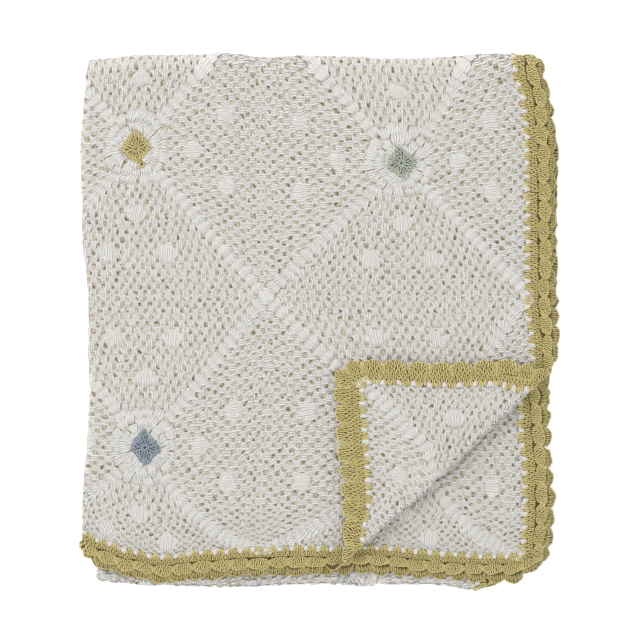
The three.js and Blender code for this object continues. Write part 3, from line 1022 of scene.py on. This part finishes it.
def buildSquare(name, square, shownBy, seed):
    work = squareWork["cluster"]
    places, turns, widths, lengths = clusterPlaces(square)
    wide = widths / cluster["pitch"] * (work["wide"] + work["uneven"] * slowWave(places, work["wave"], seed))
    frames = sized(places, turns, wide, lengths / cluster["height"])
    shown = shownBy(places)
    kinds = (fineCluster, plainCluster)
    meshes = lay(kinds, frames, whiteYarn, seed, work["jitter"], shown=shown, fine=isFine(places))
    shown = shown & onRoll(places)
    beyond = view["rollFrom"]
    meshes += lay(kinds[:1], frames, whiteYarn, seed + 10, work["jitter"], shown=shown, beyond=beyond)
    work = squareWork["petal"]
    places, turns, widths, lengths = petalPlaces(square)
    frames = sized(places, turns, widths / work["width"], lengths / work["length"])
    meshes += lay((petalLeaf,), frames, whiteYarn, seed + 20, work["jitter"], shown=shownBy(places))
    work = squareWork["corner"]
    places, turns, widths, lengths = cornerPlaces(square)
    frames = sized(places, turns, 1, lengths / work["length"])
    kinds = (cornerFan, bentFan)
    flat = ~onFold(places)
    meshes += lay(kinds, frames, whiteYarn, seed + 30, work["jitter"], shown=shownBy(places), fine=flat)
    work = squareWork["popcorn"]
    places, turns = popcornPlaces(square)
    frames = places, turns, np.tile(work["size"], (len(turns), 1))
    kinds = (finePopcorn, plainPopcorn)
    shown, fine = shownBy(places), isFine(places)
    meshes += lay(kinds, frames, shadedPopcornYarn, seed + 40, work["jitter"], work["height"], shown, fine)
    return joinMeshes(name, meshes)


clothPieces = []
for row in range(len(rows)):
    for column in range(len(columns)):
        if row < 4 or column == 0:   # the last square is hidden in the stack
            shownBy = {0: topShown, 1: bendShown}.get(row, underShown)
            seed = 100 * row + 50 * column
            clothPieces.append(buildSquare(f"stitches_{row}_{column}", (row, column, 1), shownBy, seed))
clothPieces.append(buildSquare("stitches_beside_corner", (0, 1, -1), cornerShown, 577))

# Coloured centres
centres = {                          # reach to the right, top, left and bottom
    (0, 0): {"yarn": blueYarn, "turn": 0.05, "reach": (17.6, 19.0, 16.6, 20.0)},
    (1, 0): {"yarn": yellowYarn, "turn": 0.12, "reach": (18.4, 22.0, 16.2, 15.5), "tail": (3.6, -17.0)},
    (1, 1): {"yarn": greenYarn, "turn": 0.24, "reach": (17.0, 20.0, 17.0, 20.0)},
    (2, 0): {"yarn": greenYarn, "turn": 0.1, "reach": (17.0, 19.0, 17.0, 19.0)},
    (2, 1): {"yarn": blueYarn, "turn": -0.1, "reach": (17.0, 20.0, 17.5, 19.0)},
    (3, 0): {"yarn": whiteYarn, "turn": 0.0, "reach": (17.0, 19.0, 17.0, 20.0)},
    (3, 1): {"yarn": whiteYarn, "turn": 0.1, "reach": (17.5, 19.0, 17.0, 19.0)},
}
diamond = {"power": 1.08, "height": 1.3, "arch": 0.9, "webPoints": 24, "webInset": 2.2, "webHalf": 0.2}
posts = [                            # rounds of posts, held inside the rim; lean and lift take turns
    {"count": 12, "phase": 0.0, "low": 1.4, "high": 8.0, "inside": (0, 0),
     "strand": 0.88, "lean": (0.1, 0.1), "lift": (0.7, 0.7)},
    {"count": 20, "phase": 0.5, "low": 6.8, "high": 12.5, "inside": (0, 3.0),
     "strand": 0.88, "lean": (0.12, -0.12), "lift": (0.5, 0.5)},
    {"count": 34, "phase": 0.5, "low": 11.5, "high": 30.0, "inside": (4.5, 0.8),
     "strand": 0.92, "lean": (0.16, -0.16), "lift": (0.45, 0.7)},
]
rimChain = {"count": 26, "phase": 0.3, "half": 0.10, "inset": (1.6, 0.2, 0.7), "lift": 0.9, "strand": 0.95}
tail = {"turn": (-1.2, 4.6), "size": (4.3, 1.5), "points": 12, "strand": 1.25, "rise": 0.1}
tailWeb = [(0, -8), (4, -8), (6.5, -19), (2.5, -20)]


def diamondReach(angle, reach):
    wide = np.where(np.cos(angle) > 0, reach[0], reach[2])
    tall = np.where(np.sin(angle) > 0, reach[1], reach[3])
    power = diamond["power"]
    part = np.abs(np.cos(angle) / wide) ** power + np.abs(np.sin(angle) / tall) ** power
    return part ** (-1 / power)


def diamondPost(low, high, radius, angle, lean, lift):
    t = np.linspace(0, 1, 4)
    run = low + (high - low) * t
    bend = angle + lean * (t - 0.5)
    z = lift + diamond["arch"] * arch(t, 0.1, 0.75)
    return tube(np.stack([run * np.cos(bend), run * np.sin(bend), z], 1), radius * (0.8 + 0.3 * t), 5)


def diamondShape(reach, tailAt):
    shapes = []
    for post in posts:
        for k in range(post["count"]):
            angle = 2 * pi * (k + post["phase"]) / post["count"]
            edgeAt = diamondReach(angle, reach)
            low = np.minimum(post["low"], edgeAt - post["inside"][0])
            high = np.minimum(post["high"], edgeAt - post["inside"][1])
            lean, lift = post["lean"][k % 2], post["lift"][k % 2]
            shapes.append(diamondPost(low, high, post["strand"], angle, lean, lift))
    ring = np.linspace(0, 2 * pi, diamond["webPoints"], endpoint=False)
    web = diamondReach(ring, reach) - diamond["webInset"]
    outline = np.stack([web * np.cos(ring), web * np.sin(ring)], 1)
    shapes.append(plate(outline, -diamond["webHalf"], diamond["webHalf"]))
    for k in range(rimChain["count"]):
        angle = 2 * pi * (k + rimChain["phase"]) / rimChain["count"]
        ends = np.array([angle - rimChain["half"], angle, angle + rimChain["half"]])
        run = diamondReach(ends, reach) - rimChain["inset"]
        path = np.stack([run * np.cos(ends), run * np.sin(ends), rimChain["lift"] + 0 * ends], 1)
        shapes.append(tube(path, rimChain["strand"], 4))
    if tailAt:                       # the end of the yarn lies in a curl
        turn = np.linspace(*tail["turn"], tail["points"])
        size = np.linspace(*tail["size"], tail["points"])
        curl = [tailAt[0] + size * np.sin(turn), tailAt[1] - size * np.cos(turn), 1.0 + tail["rise"] * turn]
        shapes.append(tube(np.stack(curl, 1), tail["strand"], 5))
        shapes.append(plate(tailWeb, -0.2, 0.4))
    return shapes


for (row, column), centre in centres.items():
    name = f"centre_{row}_{column}"
    place = squarePoint((row, column, 1), np.array([0.0]), np.array([0.0]))
    stitch = stitchObject("diamond", diamondShape(centre["reach"], centre.get("tail")))
    frames = sized(place, np.array([centre["turn"]]), 1, 1)
    meshes = lay((stitch,), frames, centre["yarn"], 3, (0, 0, 0), diamond["height"])
    clothPieces.append(joinMeshes(name, meshes))

# The shell edging
edge = {
    "ridge": 11.5,
    "shellPitch": 21.0,
    "tabPitch": 14.3,
    "tabOut": 6.0,
    "frontOut": 20.0,
    "backOut": 24.0,
    "phase": 0.5,
    "meanReach": 33.5,
    "cornerShort": 0.2,              # the outer work is drawn in and widened at the cloth's corners
    "cornerWide": 0.2,
    "tabWide": 0.5,
    "heldShort": 0.26,               # and drawn in at the ends of the diagonal fold
    "heldAt": 4,
    "heldOver": 14,
    "neverTurned": 500.0,
}
edgeView = {                         # where the fine edging is laid
    "besideLine": -30,
    "topTo": 600,
    "foldReach": 40,
    "innerEnd": 45,
    "peekLow": -140,
    "peekHigh": -30,
}


def rimFrames(distance, pitch, phase):       # even places round the cloth for work this far out
    turn = pi / 2 * distance
    legs = [
        (2 * halfWidth, (-halfWidth, 0), (1, 0), -pi / 2),
        (clothEnd, (halfWidth, 0), (0, 1), 0.0),
        (2 * halfWidth, (halfWidth, clothEnd), (-1, 0), pi / 2),
        (clothEnd, (-halfWidth, clothEnd), (0, -1), pi),
    ]
    total = sum(leg[0] for leg in legs) + 4 * turn
    count = round(total / pitch)
    stations = (np.arange(count) + phase) * total / count
    places, outs = np.zeros((count, 2)), np.zeros(count)
    start = 0.0
    for length, origin, way, out in legs:
        on = (stations >= start) & (stations < start + length)
        places[on] = np.array(origin) + (stations[on] - start)[:, None] * np.array(way)
        outs[on] = out
        start += length
        on = (stations >= start) & (stations < start + turn)
        places[on] = np.array(origin) + length * np.array(way)
        outs[on] = out + (stations[on] - start) / turn * pi / 2
        start += turn
    reach = fold["sideEdging"] + (fold["endEdging"] - fold["sideEdging"]) * np.abs(np.sin(outs))
    return places, outs - pi / 2, reach / edge["meanReach"]


def edgingShown(places, peeking=False):      # on the upper layer, beside the turned corner, on the folds
    spot = folded(places)
    along = places[:, 1]
    beside = pastCorner(spot[:, 0], spot[:, 1]) > edgeView["besideLine"]
    shown = (along < edgeView["topTo"]) & ((places[:, 0] > 0) | (beside & (along < view["frontTo"])))
    shown |= within(places, bottomFoldAt, innerPairAt, edgeView["foldReach"], edgeView["foldReach"])
    shown |= (along > clothEnd) & (np.abs(places[:, 0]) < edgeView["innerEnd"])
    if peeking:                      # and the rims of the lower layers that reach past it
        peek = (spot[:, 1] > edgeView["peekLow"]) & (spot[:, 1] < edgeView["peekHigh"])
        shown |= (along > edgeView["topTo"]) & (spot[:, 0] > 0) & peek
    return shown


stroke = {"arch": 0.7, "uneven": 0.25, "sunk": 0.35, "ends": 0.85, "middle": 0.25}


def strokes(rows, placeAt, radius, steps=3):         # rows of short strands that lean together in pairs
    shapes = []
    bulge = np.sin(pi * np.linspace(0, 1, steps))
    for row, (count, low, high, lean) in enumerate(rows):
        for k in range(count):
            t = np.linspace(low, high, steps)
            way = lean * (-1) ** (k + row)
            part = (k + 0.5) / count * 2 - 1 + way * (t - (low + high) / 2) / (high - low) * 2 / count
            x, y, z = placeAt(part, t)
            z = z + stroke["arch"] * bulge + stroke["uneven"] * (-1) ** (k + row) - stroke["sunk"]
            thick = radius * (stroke["ends"] + stroke["middle"] * bulge)
            shapes.append(tube(np.stack([x, y, z], 1), thick, 3))
    return shapes


def webSheet(placeAt, columnCount, rowCount, drop, thick):   # a closed web under the strands, which the material darkens as painted shade
    parts, ts = np.meshgrid(np.linspace(-1, 1, columnCount), np.linspace(0, 1, rowCount))
    top = np.stack(placeAt(parts.ravel(), ts.ravel()), 1) - (0, 0, drop)
    faces = closedGrid(rowCount, columnCount)
    points = np.concatenate([top, top - (0, 0, thick)])
    uvs = [[tuple(points[v, :2]) for v in face] for face in faces]
    return points, faces, uvs, False


# Rows of strands: how many, from and to what share of the length, and their lean
tabRows = [(7, 0.0, 0.42, 0.55), (7, 0.34, 0.74, 0.55), (7, 0.68, 1.0, 0.4)]
frontRows = [(9, 0.0, 0.42, 0.35), (12, 0.34, 0.74, 0.35), (15, 0.66, 1.0, 0.35)]
backRows = [(12, 0.58, 1.0, 0.3)]
turnedRows = [(11, 0.0, 0.28, 0.55), (11, 0.2, 0.5, 0.55), (11, 0.43, 0.73, 0.5), (13, 0.66, 1.0, 0.4)]
tab = {
    "strand": 0.8,
    "plainStrand": 1.9,
    "start": -0.8,
    "lap": 0.9,
    "lift": 1.1,
    "headStrand": 0.95,              # the head reaches onto the white cloth
    "headX": -2.4,
    "headHalf": 4.5,
    "headY": -4.9,
    "headLong": 6.4,
    "headHollow": 1.3,
    "headLift": 2.0,
    "footStart": -1.0,               # the foot goes under the shells
    "footLong": 3.4,
    "footWider": 0.3,
    "footLift": 0.5,
}


def tabShape(fine):
    half = edge["tabPitch"] / 2

    def bodyAt(part, t):
        return part * half, tab["start"] + (edge["ridge"] + tab["lap"]) * t, tab["lift"] + 0 * t

    def headAt(part, t):
        y = tab["headY"] + tab["headLong"] * t + tab["headHollow"] * part * part * (1 - t)
        return tab["headX"] + part * tab["headHalf"], y, tab["headLift"] + 0 * t

    def footAt(part, t):
        y = edge["ridge"] + tab["footStart"] + tab["footLong"] * t
        return part * (half + tab["footWider"]), y, tab["footLift"] + 0 * t

    if fine:
        shapes = strokes(tabRows, bodyAt, tab["strand"])
        shapes += strokes([(4, 0.0, 1.0, 0.3)], headAt, tab["headStrand"])
        shapes.append(webSheet(bodyAt, 4, 4, 0.8, 0.7))
        shapes.append(webSheet(headAt, 3, 2, 0.7, 0.8))
        shapes.append(webSheet(footAt, 3, 2, 0.8, 0.6))
    else:
        shapes = strokes([(3, 0.0, 1.0, 0.1)], bodyAt, tab["plainStrand"], 2)
        shapes += strokes([(2, 0.0, 1.0, 0.0)], headAt, tab["plainStrand"], 2)
        shapes.append(webSheet(bodyAt, 2, 2, 0.8, 0.7))
    return shapes


lobe = {
    "strand": 1.05,
    "foot": 1.9,
    "gather": 1.2,
    "start": -4.0,
    "long": 6.6,
    "sideShort": 1.0,
    "lift": 1.5,
    "sink": 0.5,
    "middleUp": 0.15,
    "shift": 4.3,                    # to between two tabs
    "height": 0.7,
    "cornerClear": 0.3,
    "jitter": (0.15, 0.1, 0.4),
}


def lobeShape():                     # white yarn reaching into the edging between two tabs
    shapes = []
    t = np.linspace(0, 1, 4)
    for part in (-1, 0, 1):
        x = part * (lobe["foot"] - lobe["gather"] * t)
        y = lobe["start"] + (lobe["long"] - lobe["sideShort"] * abs(part)) * t
        z = lobe["lift"] - lobe["sink"] * t + lobe["middleUp"] * (part == 0)
        shapes.append(tube(np.stack([x, y, z], 1), lobe["strand"], 3))
    return shapes


frontSize = {
    "start": 11.3,
    "length": 14.2,
    "width": 26.0,
    "base": 16.0,
    "spread": 2.9,
    "drop": 0.16,
    "round": 0.55,
    "hollow": 1.6,
    "z": 1.1,
    "swell": 1.8,
    "tilt": 0.12,
    "strand": 0.78,
    "grid": 7,
}
backSize = {**frontSize, "start": 12.0, "length": 21.5, "width": 22.6, "base": 18.0, "spread": 2.5}
backSize.update({"drop": 0.35, "round": 0.6, "hollow": 0.0, "z": -1.7, "swell": 0.9, "tilt": -0.03})
turnedSize = {**backSize, "start": 11.0, "length": 22.5, "width": 23.0, "base": 21.0, "spread": 2.8}
turnedSize.update({"drop": 0.36, "round": 0.8, "z": 0.0, "swell": 1.0, "tilt": 0.03, "grid": 8})
plainStrand = 1.25


def shellShape(size, rows, fine=True):
    spread = size["spread"]

    def tips(angle, inset):
        rim = size["length"] * (size["drop"] + (1 - size["drop"]) * np.cos(angle) ** size["round"])
        return (size["width"] / 2 - inset) * np.sin(angle) / math.sin(spread / 2), rim - inset

    def placeAt(part, t):
        tipX, tipY = tips(part * spread / 2, 0.8)
        x = part * size["base"] / 2 * (1 - t ** 0.8) + tipX * t ** 0.8
        foot = size["start"] + size["hollow"] * part * part * (1 - t)
        lift = size["z"] + 0.8 + size["swell"] * arch(t, 0.12, 0.78) * (1 - 0.5 * part * part)
        return x, foot + tipY * t, lift + size["tilt"] * x

    shapes = strokes(rows, placeAt, size["strand"] if fine else plainStrand, 3 if fine else 2)
    shapes.append(webSheet(placeAt, size["grid"] if fine else 5, 4 if fine else 2, 0.85, 0.6))
    count = 2 * (rows[-1][0] // 2) + 1
    x, y = tips(np.linspace(-spread / 2, spread / 2, count), 0.6)
    beads = size["strand"] * (1.05 + 0.35 * (-1) ** np.arange(count))
    rim = np.stack([x, size["start"] + y, size["z"] + 0.85 + size["tilt"] * x], 1)
    shapes.append(tube(rim, beads, 3))
    return shapes


fineTab = stitchObject("fineTab", tabShape(True))
plainTab = stitchObject("plainTab", tabShape(False))
fineFront = stitchObject("fineFront", shellShape(frontSize, frontRows))
plainFront = stitchObject("plainFront", shellShape(frontSize, [(8, 0.3, 1.0, 0.2)], False))
fineBack = stitchObject("fineBack", shellShape(backSize, backRows))
plainBack = stitchObject("plainBack", shellShape(backSize, [(8, 0.5, 1.0, 0.2)], False))
turnedShell = stitchObject("turnedShell", shellShape(turnedSize, turnedRows))
whiteLobe = stitchObject("whiteLobe", lobeShape())
print("edging stitches", triangles(fineTab.data), triangles(fineFront.data), triangles(plainFront.data))
tabRim = {                           # zones: turned over or not, and how far past the diagonal fold line
    "kinds": (fineTab, plainTab),
    "out": edge["tabOut"],
    "pitch": edge["tabPitch"],
    "phase": edge["phase"],
    "seed": 201,
    "jitter": (0.03, 0.04, 0.3),
    "zones": ((False, 12.0), (True, -8.0)),
    "outer": False,
}
frontRim = {**tabRim, "kinds": (fineFront, plainFront), "out": edge["frontOut"], "pitch": edge["shellPitch"],
            "seed": 211, "jitter": (0.06, 0.06, 0.5), "zones": ((False, 4.0),), "outer": True}
turnedRim = {**frontRim, "kinds": (turnedShell, plainBack), "seed": 231, "jitter": (0.05, 0.05, 0.5),
             "zones": ((True, -8.0),)}
backRim = {**frontRim, "kinds": (fineBack, plainBack), "out": edge["backOut"], "phase": 0.27, "seed": 221,
           "zones": ((False, -12.0),)}


def layRim(work, material):
    places, turns, reach = rimFrames(work["out"], work["pitch"], work["phase"])
    outer = work["outer"]
    rounding = np.abs(np.sin(2 * turns))
    wide = edge["cornerWide"] if outer else edge["tabWide"]
    if outer:
        past = np.abs(flatPast(places[:, 0], places[:, 1]) - edge["heldAt"])
        held = smooth((past - edge["heldAt"]) / edge["heldOver"])
        held = np.where((places[:, 0] > 0) & (places[:, 1] < view["frontTo"]), held, 1.0)
        reach = reach * (1 - edge["cornerShort"] * rounding) * (1 - edge["heldShort"] * (1 - held))
    frames = sized(places, turns, 1 + wide * rounding, reach)
    fine = edgingShown(places, outer)
    meshes = []
    for turned, limit in work["zones"]:
        flap = inFlap(places, limit)
        on, beyond = (flap, limit) if turned else (~flap, edge["neverTurned"])
        meshes += lay(work["kinds"], frames, material, work["seed"], work["jitter"], 0.0, on, fine, beyond)
    return meshes


rims = [mesh for work in (tabRim, frontRim, turnedRim) for mesh in layRim(work, mustardYarn)]
edging = joinMeshes("edging", rims)
edgingBack = joinMeshes("edging_back", layRim(backRim, shadedMustardYarn))
places, turns = rimFrames(edge["tabOut"], edge["tabPitch"], edge["phase"])[:2]
places = places + lobe["shift"] * np.stack([np.cos(turns), np.sin(turns)], 1)
keep = edgingShown(places) & (np.abs(np.sin(2 * turns)) < lobe["cornerClear"])
frames = sized(places[keep], turns[keep], 1, 1)
lobes = lay((whiteLobe,), frames, whiteYarn, 301, lobe["jitter"], lobe["height"])
clothPieces.append(joinMeshes("stitches_edge_lobes", lobes))
edgings = [edging, edgingBack]
print("all triangles", sum(triangles(piece.data) for piece in clothPieces + [clothSheet] + edgings))

# Floor, light and camera
studio = {"floorHalf": 4, "floorZ": -0.0005, "floorGlow": 0.45, "world": 0.89}
keyLight = {"place": (-1.5, 1.6, 2.4), "size": 1.0, "power": 24}
look = {"across": 0.704, "above": 0.03, "lens": 200, "sensor": 36}

floorMesh = bpy.data.meshes.new("floor")
half, floorZ = studio["floorHalf"], studio["floorZ"]
floorCorners = [(-half, -half, floorZ), (half, -half, floorZ), (half, half, floorZ), (-half, half, floorZ)]
floorMesh.from_pydata(floorCorners, [], [(0, 1, 2, 3)])
floor = bpy.data.objects.new("floor", floorMesh)
scene.collection.objects.link(floor)
floorMaterial, floorShader = principled("floorPaper", 0.9, 0.0)
floorShader.inputs["Base Color"].default_value = (0.95, 0.95, 0.95, 1)
floorShader.inputs["Emission Color"].default_value = (1, 1, 1, 1)
floorShader.inputs["Emission Strength"].default_value = studio["floorGlow"]
floor.data.materials.append(floorMaterial)

world = bpy.data.worlds.new("studio")
scene.world = world
world.use_nodes = True
world.node_tree.nodes["Background"].inputs["Color"].default_value = (1, 1, 1, 1)
world.node_tree.nodes["Background"].inputs["Strength"].default_value = studio["world"]

lamp = bpy.data.lights.new("keyLight", "AREA")
lamp.shape = "SQUARE"
lamp.size = keyLight["size"]
lamp.energy = keyLight["power"]
light = bpy.data.objects.new("keyLight", lamp)
lightX, lightY, lightZ = keyLight["place"]
light.location = keyLight["place"]
light.rotation_euler = (math.atan2(math.hypot(lightX, lightY), lightZ), 0, math.atan2(lightX, -lightY))
scene.collection.objects.link(light)
scene.view_settings.view_transform = "Standard"

camera = bpy.data.cameras.new("camera")
camera.lens = look["lens"]
camera.sensor_width = look["sensor"]
viewer = bpy.data.objects.new("camera", camera)
viewer.location = (0, 0, look["across"] * camera.lens / camera.sensor_width + look["above"])
scene.collection.objects.link(viewer)
scene.camera = viewer

# The pieces and the frame
for piece in clothPieces + [clothSheet] + edgings:
    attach(piece, "root")
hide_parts("cloth")
for piece in edgings:
    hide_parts("shell_edging")
